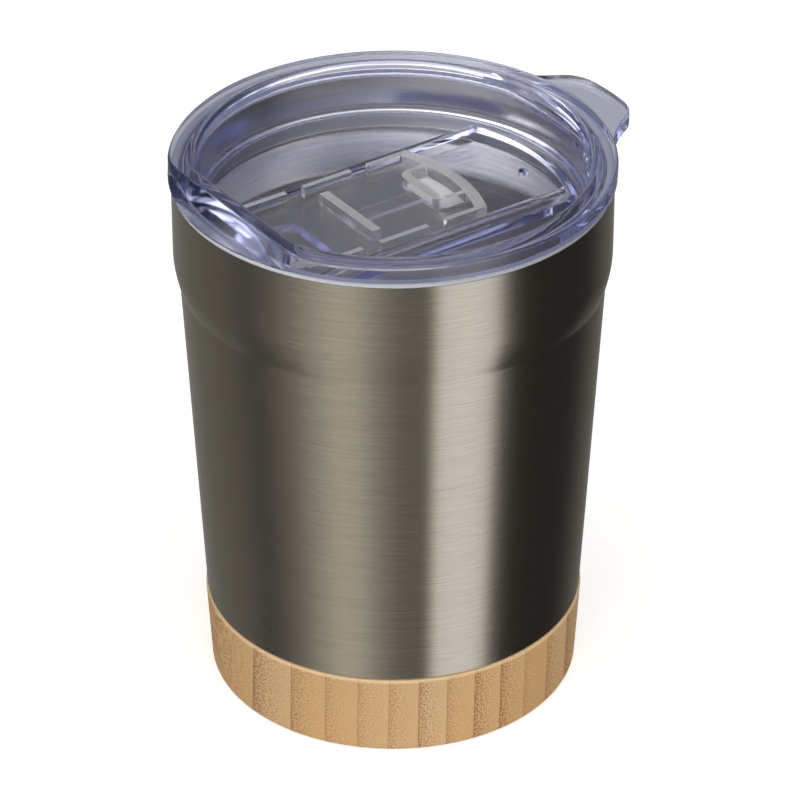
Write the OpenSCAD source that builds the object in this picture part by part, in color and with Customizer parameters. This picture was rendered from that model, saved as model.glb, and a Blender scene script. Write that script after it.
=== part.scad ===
// Double wall steel tumbler on a laminated bamboo base, with a clear lid and a sliding closure.
// The origin is the centre of the resting face. +Z is up and +X points to the lid's pull tab.

/* [Cup] */
// Height of the steel rim above the table
cup_h = 109.75; // [100:0.25:130]
// Outside diameter of the steel at the mouth
mouth_d = 84.6; // [80:0.2:92]
// Distance from the steel rim down to the crease under the shoulder
band_h = 22.5; // [18:0.5:30]
// Height of the convex shoulder above the crease
shoulder_h = 7; // [4:0.5:10]
// How far the crease is set in from the band
shoulder_step = 1.2; // [0.6:0.1:2]
// Outside diameter of the steel just above the bamboo
foot_d = 74.7; // [70:0.1:78]
// Thickness of the steel sheet
steel_t = 0.5; // [0.4:0.05:0.8]
// Height of the polished lip
lip_h = 1.1; // [0.8:0.1:2]
// Rounding of the lip's upper edges
lip_round = 0.75; // [0.1:0.05:0.8]

/* [Double wall] */
// Gap between shell and liner beside the mouth
mouth_gap = 0.6; // [0.4:0.1:1]
// Gap between shell and liner along the taper
vacuum_gap = 2.6; // [1.5:0.1:4]
// Height of the neck that narrows the liner below the lid
neck_h = 7; // [4:0.5:10]
// Room left between the lid's underside and the neck
throat_room = 2; // [1:0.5:6]
// Gap between the outer bottom and the liner's floor
bottom_gap = 6; // [4:0.5:9]
// Inside radius between the liner's floor and wall
liner_corner_r = 9; // [5:0.5:14]
// Inside diameter of the vacuum port's cup
port_d = 9; // [6:0.5:14]
// Height of the vacuum port's cup
port_h = 1.3; // [0.8:0.1:2.5]
// Diameter of the hole that the air was drawn through
port_hole_d = 1.6; // [1:0.1:3]
// Gap around the bead that seals the port
port_gap = 0.2; // [0.1:0.05:0.5]
// Diameter of the getter pellet
getter_d = 10; // [6:0.5:14]
// Height of the getter pellet
getter_h = 2; // [1:0.1:3]
// Distance of the getter pellet from the cup's axis
getter_x = 18; // [14:0.5:22]

/* [Bamboo base] */
// Height of the bamboo base
base_h = 17.25; // [14:0.25:24]
// Bamboo left below the pocket that holds the steel
base_floor_t = 8; // [5:0.5:11]
// How far the bamboo stands proud of the steel
base_proud = 0.3; // [0:0.05:0.8]
// Radius that the base loses from its top to its bottom
base_taper = 1; // [0:0.1:2]
// Rounding of the base's outer edges
base_round = 0.8; // [0.3:0.1:2]
// Gap seen between the bamboo and the steel
base_seam = 0.15; // [0.05:0.05:0.5]
// Width of the step from the steel wall to the spigot inside the base
spigot_step = 3; // [2:0.25:5]
// Gap around the spigot in the base's pocket
pocket_gap = 0.3; // [0.1:0.05:0.6]
// Thickness of the adhesive film under the steel
glue_t = 0.3; // [0.1:0.05:0.6]
// How far the adhesive film stays inside the spigot's edge
glue_inset = 1.5; // [0.5:0.5:5]
// Width of one bamboo strip
strip_w = 5.7; // [5:0.1:8]
// Offset of the middle strip from the axis
strip_shift = -1.7; // [-2:0.05:2]
// Turn of the strips about the axis
strip_turn = -20.5; // [-90:0.5:90]

/* [Lid] */
// How far the lid reaches past the mouth
lid_overhang = 0.55; // [0.2:0.05:1.5]
// Height of the lid's rim
lid_rim_h = 3.4; // [2.5:0.1:5]
// Gap between the lid's rim and the steel lip
lid_seat_gap = 0.1; // [0.05:0.05:0.3]
// Gap between the plug and the liner, which the seal closes
plug_gap = 1.2; // [0.8:0.1:2]
// Thickness of the plug's wall at its top
lid_wall_t = 1.9; // [1.5:0.1:3]
// Thickness of the lid's floors
lid_floor_t = 1.8; // [1.2:0.1:3]
// Depth of the recess below the rim
recess_depth = 10.2; // [8:0.1:14]
// Radius that the recess loses down to its floor
recess_draft = 0.8; // [0:0.1:1.5]
// Rounding of the rim's outer edge
rim_round = 0.7; // [0.2:0.1:1]
// Rounding of the recess's upper edge
recess_edge_r = 1.4; // [0.3:0.1:1.5]
// Fillet between the recess's floor and wall
recess_corner_r = 1.6; // [0.5:0.1:3]
// How far the plug reaches below the lid's floor
skirt_h = 4.1; // [3.9:0.1:5]
// Thickness of the plug below the lid's floor
skirt_t = 2.2; // [1.8:0.1:3]
// Rounding of the plug's lower edge
plug_corner_r = 0.5; // [0.3:0.1:1]
// Diameter of the vent hole
vent_d = 2; // [1.2:0.1:3]
// Distance of the vent hole from the trough's round end
vent_inset = 2.5; // [2:0.1:5]

/* [Spout and tab] */
// How far the straight spout edge is set in from the lid's round edge
spout_depth = 6.05; // [4:0.05:8]
// Width of the flat land behind the spout edge
spout_land_w = 3.5; // [2.5:0.1:5]
// Height of the upright edge left below the spout's sloped face
spout_edge_h = 0.4; // [0.2:0.1:1]
// Radius of the curves that blend the straight spout edge into the rim
spout_blend_r = 12; // [6:0.5:18]
// Radius of the recess's corners beside the spout
spout_corner_r = 8; // [3:0.5:12]
// Length of the sip hole from the spout inwards
sip_l = 13; // [8:0.5:14]
// Width of the sip hole
sip_w = 16; // [10:0.5:20]
// Corner radius of the sip hole
sip_corner_r = 3; // [1:0.5:4]
// Distance of the sip hole from the spout's wall
sip_inset = 2.5; // [1:0.25:3]
// How far the tab reaches past the rim
tab_reach = 8.9; // [5:0.05:12]
// Width of the tab at its tip
tab_w = 24; // [14:0.5:28]
// Thickness of the tab
tab_t = 3.2; // [1.5:0.1:4]
// How far the tab's underside lies below the rim's
tab_drop = 1.85; // [0:0.05:3]
// Gap between the steel and the part of the tab below the rim
tab_gap = 1; // [0.5:0.1:2]
// Radius of the tab's corners
tab_corner_r = 8; // [2:0.5:10]
// Radius of the curves that blend the tab into the rim
tab_blend_r = 24; // [5:0.5:30]

/* [Seal] */
// Height of the groove that holds the seal
seal_h = 3.3; // [2:0.1:3.5]
// Depth of the groove in the plug's wall
groove_depth = 0.9; // [0.5:0.1:1.1]
// Height of the groove above the plug's lower edge
seal_lift = 0.5; // [0.3:0.1:1]
// Gap between the seal's lips and the liner
seal_gap = 0.2; // [0.1:0.05:0.5]
// Gap between the seal and its groove
seal_seat = 0.05; // [0.02:0.01:0.1]

/* [Slider] */
// Depth of the trough below the recess's floor
trough_depth = 3.3; // [2.8:0.1:5]
// Width of the trough between its ledges
trough_w = 28.6; // [24:0.2:30]
// Floor left between the trough's round end and the recess's wall
trough_end_land = 3.3; // [2:0.1:5]
// Width of the ledges that hold the slider down
ledge_w = 0.8; // [0.6:0.1:1.2]
// Thickness of the ledges
ledge_t = 1; // [0.6:0.1:1.2]
// Running gap around the slider
slider_gap = 0.3; // [0.2:0.05:0.4]
// How far the slider travels from closed to open
slider_travel = 18; // [16:0.5:20]
// Gap between the slider's upper part and the ledges
slider_side_gap = 0.8; // [0.3:0.1:1.5]
// Height of the slider's top above the recess's floor
slider_proud = 1.1; // [0:0.1:2]
// Thickness of the slider's side and front walls
slider_wall_t = 1.2; // [0.8:0.1:2]
// Thickness of the slider's round end wall
slider_end_t = 2.4; // [1.5:0.1:4]
// Width of the slider's cross bars
bar_w = 2; // [1.2:0.1:3]
// Distance of the first cross bar from the slider's front
front_bar_at = 23; // [18:0.5:26]
// How far the first cross bar stays inside the slider's sides
front_bar_inset = 4.7; // [2:0.1:5]
// Distance of the thumb pocket's bar from the slider's round end
thumb_bar_at = 8.5; // [8:0.5:14]
// How far the thumb pocket stays inside the slider's sides
thumb_inset = 6.7; // [3:0.1:7]
// Thickness of the thumb pocket's side walls
thumb_wall_t = 1; // [0.8:0.1:2]
// Radius of the thumb pocket's corners
thumb_corner_r = 2.5; // [2.2:0.1:4]
// Width of the rib between the bars
rib_w = 3.5; // [2:0.1:5]
// Height of the rib above the slider's plate
rib_h = 0.8; // [0.4:0.1:1.2]
// Length of the notches in the slider's side walls
notch_l = 4; // [2:0.5:6]
// Distance of the first pair of notches from the slider's front
front_notch_at = 17; // [12:0.5:20]
// Distance of the second pair of notches from the slider's front
rear_notch_at = 32; // [28:0.5:36]

/* [Hidden] */
$fn = 180;
arc_steps = 8;
spout_steps = 24;
// Spare length by which a cut runs past the faces it opens
over = 1;

// Cup, from the outside in
mouth_r = mouth_d / 2;
foot_r = foot_d / 2;
crease_r = mouth_r - shoulder_step;
crease_z = cup_h - band_h;
shoulder_z = crease_z + shoulder_h;
shell_top = cup_h - lip_h;
foot_z = base_h + base_seam;
shoulder_arc_r = (shoulder_h * shoulder_h + shoulder_step * shoulder_step) / (2 * shoulder_step);
shoulder_turn = asin(shoulder_h / shoulder_arc_r);
taper_slope = (crease_r - foot_r) / (crease_z - foot_z);
taper_angle = atan(taper_slope);
spigot_r = foot_r - spigot_step;
bottom_z = base_floor_t + glue_t;
bottom_top = bottom_z + steel_t;
throat_r = mouth_r - 2 * steel_t - mouth_gap;
liner_floor = bottom_top + bottom_gap + steel_t;

// Bamboo base
base_top_r = foot_r + base_proud;
base_foot_r = base_top_r - base_taper;
base_slope = base_taper / base_h;
base_angle = atan(base_slope);
pocket_r = spigot_r + pocket_gap;
strips_before = ceil((base_top_r + strip_shift - strip_w / 2) / strip_w);
strips_after = ceil((base_top_r - strip_shift - strip_w / 2) / strip_w);
strip_count = strips_before + 1 + strips_after;

// Lid, from the steel lip upwards
lid_r = mouth_r + lid_overhang;
lid_z = cup_h + lid_seat_gap;
lid_top = lid_z + lid_rim_h;
recess_floor = lid_top - recess_depth;
lid_under = recess_floor - lid_floor_t;
trough_floor = recess_floor - trough_depth;
trough_under = trough_floor - lid_floor_t;
plug_r = throat_r - plug_gap;
recess_r = plug_r - lid_wall_t;
recess_floor_r = recess_r - recess_draft;
groove_r = plug_r - groove_depth;
skirt_z = lid_under - skirt_h;
skirt_r = plug_r - skirt_t;
groove_z = skirt_z + seal_lift;
spout_x = lid_r - spout_depth;
spout_wall_x = spout_x - spout_land_w;
// Circle just outside of the rim, where the curves beside the spout edge end
spout_clear = 0.1;
spout_end_r = lid_r + spout_clear;
spout_bend = fillet_centre(spout_end_r, spout_x, spout_blend_r);
spout_turn = atan2(spout_bend.y, -spout_bend.x);
trough_half = trough_w / 2;
runner_slot_half = trough_half + ledge_w;
trough_end_r = recess_floor_r - trough_end_land;
neck_top = min(trough_under, skirt_z) - throat_room;
neck_z = neck_top - neck_h;

// Slider, closed against the spout's wall
slider_front = -spout_wall_x + slider_gap;
slider_end_r = trough_end_r - slider_gap;
slider_rear = slider_end_r - slider_travel;
slider_z = trough_floor + slider_gap;
runner_t = trough_depth - ledge_t - 2 * slider_gap;
runner_half = runner_slot_half - slider_gap;
plate_top = slider_z + runner_t;
slider_half = trough_half - slider_side_gap;
slider_top = recess_floor + slider_proud;

function strip_name(i) = str("base_strip_", i < 10 ? "0" : "", i);

// Points on an arc about c, from angle a to angle b
function arc(c, r, a, b) = [
    for (i = [0:arc_steps])
        let (t = a + (b - a) * i / arc_steps) c + r * [cos(t), sin(t)]
];

function flip(path) = [for (i = [len(path) - 1:-1:0]) path[i]];

// Centre of a fillet of radius f between the circle of radius r and its chord at x = -d
function fillet_centre(r, d, f) = [f - d, sqrt((r - f) * (r - f) - (d - f) * (d - f))];

// Plan radius of the spout's upper edge at angle a from its middle
function spout_edge_r(a) =
    abs(a) < atan2(spout_bend.y, spout_x)
        ? spout_x / cos(a)
        : let (
            c = norm(spout_bend),
            off = abs(a) - spout_turn
        )
        c * cos(off) + sqrt(spout_blend_r * spout_blend_r - pow(c * sin(off), 2));

// Outside radius of the shell's taper at height z
function taper_r(z) = foot_r + taper_slope * (z - foot_z);

// Inside radius of the liner's taper at height z
function liner_r(z) = taper_r(z) - 2 * steel_t - vacuum_gap;

// Outside radius of the base at height z
function base_r(z) = base_foot_r + base_slope * z;

// Half outline of the shell, moved in by d
function shell_path(d) = concat(
    [[spigot_r - d, bottom_top], [spigot_r - d, foot_z + d], [foot_r - d, foot_z + d]],
    arc([mouth_r - shoulder_arc_r, shoulder_z], shoulder_arc_r - d, -shoulder_turn, 0),
    [[mouth_r - d, shell_top]]
);

module outer_shell() {
    color("#7d7a76")
        rotate_extrude()
            polygon(concat(shell_path(0), flip(shell_path(steel_t))));
}

// Half outline of the liner below its mouth, moved out by d
function liner_path(d) =
    let (
        corner_z = liner_floor + liner_corner_r,
        corner_r = liner_corner_r + d,
        corner = [liner_r(corner_z) + d - corner_r / cos(taper_angle), corner_z]
    )
    concat(
        [[0, liner_floor - d]],
        arc(corner, corner_r, -90, -taper_angle),
        [[liner_r(neck_z) + d, neck_z], [throat_r + d, neck_top]]
    );

// Half outline of the lip that is rolled over the shell's edge
function lip_path() = concat(
    arc([throat_r + lip_round, cup_h - lip_round], lip_round, 180, 90),
    arc([mouth_r - lip_round, cup_h - lip_round], lip_round, 90, 0),
    [[mouth_r, shell_top], [throat_r + steel_t, shell_top]]
);

module inner_liner() {
    color("#b9b9bb")
        rotate_extrude()
            polygon(concat(liner_path(0), lip_path(), flip(liner_path(steel_t))));
}

module outer_bottom() {
    port_r = port_d / 2;
    hole_r = port_hole_d / 2;
    color("#a9a7a4")
        rotate_extrude()
            polygon([
                [hole_r, bottom_z + port_h],
                [port_r, bottom_z + port_h],
                [port_r, bottom_z],
                [spigot_r, bottom_z],
                [spigot_r, bottom_top],
                [port_r + steel_t, bottom_top],
                [port_r + steel_t, bottom_top + port_h],
                [hole_r, bottom_top + port_h]
            ]);
}

module port_seal() {
    color("#8d9196")
        translate([0, 0, bottom_z + port_gap])
            cylinder(r = port_d / 2 - port_gap, h = port_h - port_gap);
}

module getter() {
    color("#4c4a48")
        translate([getter_x, 0, bottom_top])
            cylinder(d = getter_d, h = getter_h);
}

module base_adhesive() {
    color("#e8dfc6")
        translate([0, 0, base_floor_t])
            cylinder(r = spigot_r - glue_inset, h = glue_t);
}

// The whole base before it is parted into strips
module base_form() {
    low = [base_r(base_round) - base_round / cos(base_angle), base_round];
    high_z = base_h - base_round;
    high = [base_r(high_z) - base_round / cos(base_angle), high_z];
    difference() {
        rotate_extrude()
            polygon(concat(
                [[0, 0]],
                arc(low, base_round, -90, -base_angle),
                arc(high, base_round, -base_angle, 90),
                [[0, base_h]]
            ));
        translate([0, 0, base_floor_t])
            cylinder(r = pocket_r, h = base_h);
    }
}

module base_strip(i) {
    reach = base_top_r + over;
    first = strip_shift + strip_w * (i - 1 - strips_before - 0.5);
    color(i % 2 == 0 ? "#d3a468" : "#dcb27a")
        intersection() {
            base_form();
            rotate([0, 0, strip_turn])
                translate([first, -reach, -over])
                    cube([strip_w, 2 * reach, base_h + 2 * over]);
        }
}

// Lid without its groove, trough, spout and tab
module lid_turned() {
    edge_r = recess_r + recess_edge_r;
    wall_foot_z = recess_floor + recess_corner_r;
    rotate_extrude()
        polygon(concat(
            [[0, lid_under], [skirt_r, lid_under], [skirt_r, skirt_z]],
            arc([plug_r - plug_corner_r, skirt_z + plug_corner_r], plug_corner_r, -90, 0),
            [[plug_r, lid_z], [lid_r, lid_z]],
            arc([lid_r - rim_round, lid_top - rim_round], rim_round, 0, 90),
            arc([edge_r, lid_top - recess_edge_r], recess_edge_r, 90, 180),
            arc([recess_floor_r - recess_corner_r, wall_foot_z], recess_corner_r, 0, -90),
            [[0, recess_floor]]
        ));
}

// Plan of the trough at a given half width, moved out by d: straight at the spout and round at the far end
module trough_plan(half, d) {
    front = spout_wall_x + d;
    translate([-front, -half - d])
        square([front, 2 * (half + d)]);
    intersection() {
        circle(r = trough_end_r + d);
        translate([-over, -half - d])
            square([trough_end_r + d + over, 2 * (half + d)]);
    }
}

module trough_box() {
    intersection() {
        translate([0, 0, trough_under])
            linear_extrude(recess_floor - trough_under)
                trough_plan(runner_slot_half, lid_floor_t);
        cylinder(r = plug_r, h = recess_floor);
    }
}

module trough_cut() {
    translate([0, 0, trough_floor])
        linear_extrude(trough_depth - ledge_t)
            trough_plan(runner_slot_half, 0);
    translate([0, 0, trough_floor])
        linear_extrude(trough_depth + over)
            trough_plan(trough_half, 0);
}

module seal_groove() {
    translate([0, 0, groove_z])
        difference() {
            cylinder(r = plug_r + over, h = seal_h);
            translate([0, 0, -over])
                cylinder(r = groove_r, h = seal_h + 2 * over);
        }
}

// Plastic behind the spout, from its straight wall with two round corners to the middle of the plug's wall
module spout_block() {
    block_r = (recess_r + recess_edge_r + plug_r) / 2;
    corner = fillet_centre(recess_r, spout_wall_x, spout_corner_r);
    far = 2 * block_r * corner / norm(corner);
    translate([0, 0, lid_under])
        linear_extrude(lid_top - lid_under)
            difference() {
                intersection() {
                    circle(r = block_r);
                    polygon([[0, 0], far, [far.x, -far.y]]);
                }
                polygon([
                    [0, 0],
                    corner,
                    [-spout_wall_x, corner.y],
                    [-spout_wall_x, -corner.y],
                    [corner.x, -corner.y]
                ]);
                for (side = [-1, 1])
                    translate([corner.x, side * corner.y])
                        circle(r = spout_corner_r);
            }
}

// Cut above the spout's sloped face, which runs from the spout's upper edge to the lid's round edge
module spout_cut() {
    face_z = lid_z + spout_edge_h;
    stretch = 0.3;
    aside = [-2 * spout_depth, 0, 0];
    function at(r, a, z) = [-r * cos(a), r * sin(a), z];
    sections = [
        for (i = [0:spout_steps])
            let (
                t = 2 * i / spout_steps - 1,
                a = spout_turn * t,
                upper = at(spout_edge_r(a), a, lid_top),
                lower = at(lid_r + (spout_end_r - lid_r) * pow(t, 4), a, face_z),
                reach = stretch * (upper - lower)
            )
            [upper + reach, lower - reach, lower - reach + aside, upper + reach + aside]
    ];
    corners = [for (s = sections) each s];
    sides = [
        for (i = [0:spout_steps - 1], j = [0:3])
            let (
                a = 4 * i + (j + 1) % 4,
                b = 4 * i + j
            )
            each [[a, b, b + 4], [a, b + 4, a + 4]]
    ];
    last = 4 * spout_steps;
    polyhedron(corners, concat(sides, [[0, 1, 2, 3], [last + 3, last + 2, last + 1, last]]));
}

module sip_hole() {
    front = -spout_wall_x + sip_inset;
    translate([0, 0, trough_under - over])
        linear_extrude(lid_floor_t + 2 * over) {
            translate([front + sip_corner_r, -sip_w / 2])
                square([sip_l - 2 * sip_corner_r, sip_w]);
            translate([front, -sip_w / 2 + sip_corner_r])
                square([sip_l, sip_w - 2 * sip_corner_r]);
            for (x = [sip_corner_r, sip_l - sip_corner_r], side = [-1, 1])
                translate([front + x, side * (sip_w / 2 - sip_corner_r)])
                    circle(r = sip_corner_r);
        }
}

module vent_hole() {
    translate([trough_end_r - vent_inset, 0, trough_under - over])
        cylinder(d = vent_d, h = lid_floor_t + 2 * over);
}

// Plan of the pull tab: round tip, two corner rounds and two curves that blend into the rim
module tab_plan() {
    tip_r = lid_r + tab_reach;
    corner_at = tip_r - tab_corner_r;
    blend_at = lid_r + tab_blend_r;
    joined = tab_corner_r + tab_blend_r;
    corner_turn = asin((tab_w / 2 - tab_corner_r) / corner_at);
    blend_cos = (blend_at * blend_at + corner_at * corner_at - joined * joined) / (2 * blend_at * corner_at);
    blend_turn = corner_turn + acos(blend_cos);
    function polar(r, a) = r * [cos(a), sin(a)];
    difference() {
        polygon([
            [0, 0],
            polar(blend_at, -blend_turn),
            polar(corner_at, -corner_turn),
            polar(corner_at, corner_turn),
            polar(blend_at, blend_turn)
        ]);
        for (side = [-1, 1])
            translate(polar(blend_at, side * blend_turn))
                circle(r = tab_blend_r);
    }
    intersection() {
        circle(r = tip_r);
        polygon([[0, 0], polar(2 * tip_r, -corner_turn), polar(2 * tip_r, corner_turn)]);
    }
    for (side = [-1, 1])
        translate(polar(corner_at, side * corner_turn))
            circle(r = tab_corner_r);
}

module tab() {
    tab_z = lid_z - tab_drop;
    difference() {
        translate([0, 0, tab_z])
            linear_extrude(tab_t)
                difference() {
                    tab_plan();
                    circle(r = plug_r);
                }
        translate([0, 0, tab_z - over])
            cylinder(r = mouth_r + tab_gap, h = tab_drop + over);
    }
}

module lid_body() {
    color("#c9cee0", 0.5)
        difference() {
            union() {
                lid_turned();
                trough_box();
                spout_block();
                tab();
            }
            seal_groove();
            trough_cut();
            spout_cut();
            sip_hole();
            vent_hole();
        }
}

module lid_seal() {
    inside = groove_r + seal_seat;
    neck = plug_r - groove_depth / 4;
    lips = throat_r - seal_gap;
    low = groove_z + seal_seat;
    tall = seal_h - 2 * seal_seat;
    color("#e3e6ee", 0.8)
        rotate_extrude()
            polygon([
                [inside, low],
                [neck, low],
                [lips, low + tall / 4],
                [neck, low + tall / 2],
                [lips, low + 3 * tall / 4],
                [neck, low + tall],
                [inside, low + tall]
            ]);
}

// Plan of the slider at a given half width, moved in by front at its flat end and by rear at its round end
module slider_plan(half, front, rear) {
    intersection() {
        translate([-slider_travel, 0])
            circle(r = slider_end_r - rear);
        translate([slider_front + front, -half])
            square([slider_rear - slider_front, 2 * half]);
    }
}

module slider_walls() {
    difference() {
        slider_plan(slider_half, 0, 0);
        slider_plan(slider_half - slider_wall_t, slider_wall_t, slider_end_t);
        for (at = [front_notch_at, rear_notch_at])
            translate([slider_front + at, -slider_half])
                square([notch_l, 2 * slider_half]);
    }
}

// Plan of the thumb pocket from x to past the slider's end, with two round corners
module thumb_plan(x, half, r) {
    reach = slider_rear - x;
    translate([x + r, -half])
        square([reach, 2 * half]);
    translate([x, r - half])
        square([reach, 2 * (half - r)]);
    for (side = [-1, 1])
        translate([x + r, side * (half - r)])
            circle(r = r);
}

// Bars across the slider and the walls of the pocket for the thumb
module slider_bars() {
    front_bar_x = slider_front + front_bar_at;
    thumb_bar_x = slider_rear - thumb_bar_at;
    front_half = slider_half - front_bar_inset;
    thumb_half = slider_half - thumb_inset;
    translate([front_bar_x - bar_w / 2, -front_half])
        square([bar_w, 2 * front_half]);
    intersection() {
        slider_plan(slider_half, 0, 0);
        difference() {
            thumb_plan(thumb_bar_x - bar_w / 2, thumb_half, thumb_corner_r);
            thumb_plan(thumb_bar_x + bar_w / 2, thumb_half - thumb_wall_t, thumb_corner_r - thumb_wall_t);
        }
    }
}

module slider_rib() {
    start = slider_front + front_bar_at;
    translate([start, -rib_w / 2])
        square([slider_rear - thumb_bar_at - start, rib_w]);
}

module slider() {
    color("#dfe3ea", 0.6) {
        translate([0, 0, slider_z])
            linear_extrude(runner_t)
                slider_plan(runner_half, 0, 0);
        translate([0, 0, plate_top])
            linear_extrude(slider_top - plate_top) {
                slider_walls();
                slider_bars();
            }
        translate([0, 0, plate_top])
            linear_extrude(rib_h)
                slider_rib();
    }
}

outer_shell();
inner_liner();
outer_bottom();
port_seal();
getter();
base_adhesive();
for (i = [1:strip_count])
    base_strip(i);
lid_body();
lid_seal();
slider();
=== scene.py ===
import math
from contextlib import contextmanager

import bmesh
import bpy
from bpy.props import FloatProperty, FloatVectorProperty, IntProperty, PointerProperty
from mathutils import Matrix, Vector


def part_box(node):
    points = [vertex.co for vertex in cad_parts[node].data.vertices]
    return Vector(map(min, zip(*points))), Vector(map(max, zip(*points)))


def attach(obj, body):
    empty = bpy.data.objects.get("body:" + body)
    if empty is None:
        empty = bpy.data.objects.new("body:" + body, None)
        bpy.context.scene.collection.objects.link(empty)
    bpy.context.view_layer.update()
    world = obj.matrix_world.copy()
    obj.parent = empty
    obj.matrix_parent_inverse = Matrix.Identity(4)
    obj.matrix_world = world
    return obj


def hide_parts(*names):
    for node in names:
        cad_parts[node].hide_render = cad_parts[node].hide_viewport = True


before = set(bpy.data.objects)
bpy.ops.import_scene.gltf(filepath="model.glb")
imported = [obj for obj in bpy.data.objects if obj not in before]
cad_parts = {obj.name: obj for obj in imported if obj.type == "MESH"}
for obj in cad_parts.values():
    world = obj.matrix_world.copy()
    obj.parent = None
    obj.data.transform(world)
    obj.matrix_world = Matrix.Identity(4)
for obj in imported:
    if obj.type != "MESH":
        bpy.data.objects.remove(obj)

bl_info = {
    "name": "Steel tumbler",
    "version": (1, 0, 0),
    "blender": (4, 5, 0),
    "location": "3D View > Sidebar > Tumbler",
    "description": "Models a double wall steel tumbler on a bamboo base, with a clear slider lid",
    "category": "Object",
}

MM = 0.001
ROUND_STEPS = 6
MERGE = 0.002 * MM  # Points closer than this are one point
NEAR = 0.01 * MM  # Points closer than this to a face lie on it
OVER = 1 * MM  # How far a cutting tool reaches past the surface
SINK = 0.5 * MM  # How far a piece reaches into the one that it is joined to
AXIS_R = 1 * MM  # Radius of the last ring of a turned piece, which is capped
AHEAD = 1 * MM  # How far on a point lies that only gives a face's direction
LIP_ROUGH = 0.85

# The studio round the cup, as degrees to the right of the camera and levels where 1 is white
SIDES = (
    (-180, 0.5), (-172, 0.45), (-160, 0.26), (-147, 0.21), (-118, 0.155), (-99, 0.115), (-88, 0.06), (-80, 0.045),
    (-68, 0.09), (-55, 0.2), (-42, 0.41), (-30, 0.6), (-20, 0.56), (-7, 0.29), (4, 0.16), (18, 0.13), (22, 0.5),
    (25, 1.02), (40, 1.08), (51, 1.0), (56, 0.75), (60, 0.25), (64, 0.09), (72, 0.03), (125, 0.03), (134, 0.1),
    (147, 0.14), (160, 0.2), (172, 0.45), (180, 0.5))
SOFTBOX = 0.7  # Levels above this belong to a softbox
COOL, WARM = (1.02, 1.08), (1, 0.93)  # Green and blue for each unit of red
SOFT_STUDIO = (0.42, 0.44, 0.5, 1)
DIM_BACK = (0.19, 0.2, 0.3, 1)
WHITE = (1, 1, 1, 1)

# Sizes that the packed frame gives
SHELL_LOW, SHELL_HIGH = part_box("outer_shell")
LINER_LOW, LINER_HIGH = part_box("inner_liner")
LID_LOW, LID_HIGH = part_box("lid_body")
SEAL_LOW, SEAL_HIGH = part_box("lid_seal")
SLIDER_LOW, SLIDER_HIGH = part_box("slider")
STRIP_NAMES = sorted(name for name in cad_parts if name.startswith("base_strip_"))
BASE_TOP = max(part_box(name)[1].z for name in STRIP_NAMES)


def linear(hex_colour):
    """Linear RGB of an sRGB hex value such as #d3a468."""
    def channel(start):
        level = int(hex_colour[start:start + 2], 16) / 255
        return level / 12.92 if level <= 0.04045 else ((level + 0.055) / 1.055) ** 2.4
    return tuple(channel(start) for start in (1, 3, 5))


def length(name, description, millimetres):
    """A length property with its default in millimetres."""
    return FloatProperty(name=name, description=description, default=millimetres * MM, unit="LENGTH", precision=5)


def facets(description, count):
    """A number of facets."""
    return IntProperty(name="Segments", description=description, default=count, min=32)


def colour(name, description, hex_colour):
    """A colour property with its default as an sRGB hex value."""
    return FloatVectorProperty(name=name, description=description, default=linear(hex_colour),
                               subtype="COLOR", size=3, min=0, max=1)


def angle(name, description, degrees):
    """An angle property with its default in degrees."""
    return FloatProperty(name=name, description=description, default=math.radians(degrees), subtype="ANGLE")


class TumblerSteel(bpy.types.PropertyGroup):
    """Sizes and colours of the double steel wall."""
    segments: facets("Facets round the steel", 256)
    sheet: length("Sheet", "Thickness of the steel sheet", 0.5)
    foot_r: length("Foot radius", "Outside radius just above the bamboo", 37.35)
    foot_z: length("Foot height", "Height of the steel's lower edge", BASE_TOP / MM + 0.15)
    foot_round: length("Foot round", "Rounding of the steel's lower edge", 0.25)
    spigot_r: length("Spigot radius", "Outside radius of the part inside the base", 34.35)
    crease_r: length("Crease radius", "Outside radius at the crease", 41.1)
    crease_z: length("Crease height", "Height of the crease", 87.25)
    crease_round: length("Crease round", "Fillet in the crease", 1.2)
    shoulder_z: length("Shoulder height", "Height where the straight band starts", 94.25)
    throat_r: length("Throat radius", "Inside radius of the mouth", 40.7)
    lip_round: length("Lip round", "Rounding of the lip's two edges", 0.75)
    neck_top: length("Neck top", "Height where the mouth starts to narrow", 95.15)
    neck_z: length("Neck foot", "Height where the liner's taper starts", 88.15)
    gap: length("Vacuum gap", "Gap between shell and liner", 2.6)
    corner_r: length("Liner corner", "Inside radius at the liner's floor", 9)
    tint: colour("Steel", "Tint of the brushed steel", "#c4bbac")
    bright: colour("Bright steel", "Tint of the satin liner", "#e4e2de")
    lip_tint: colour("Lip", "Tint of the polished lip", "#e6e7ea")
    streak_l: length("Streak length", "Length of one brush mark", 6)
    streak_w: length("Streak width", "Width of one brush mark", 0.1)


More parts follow.
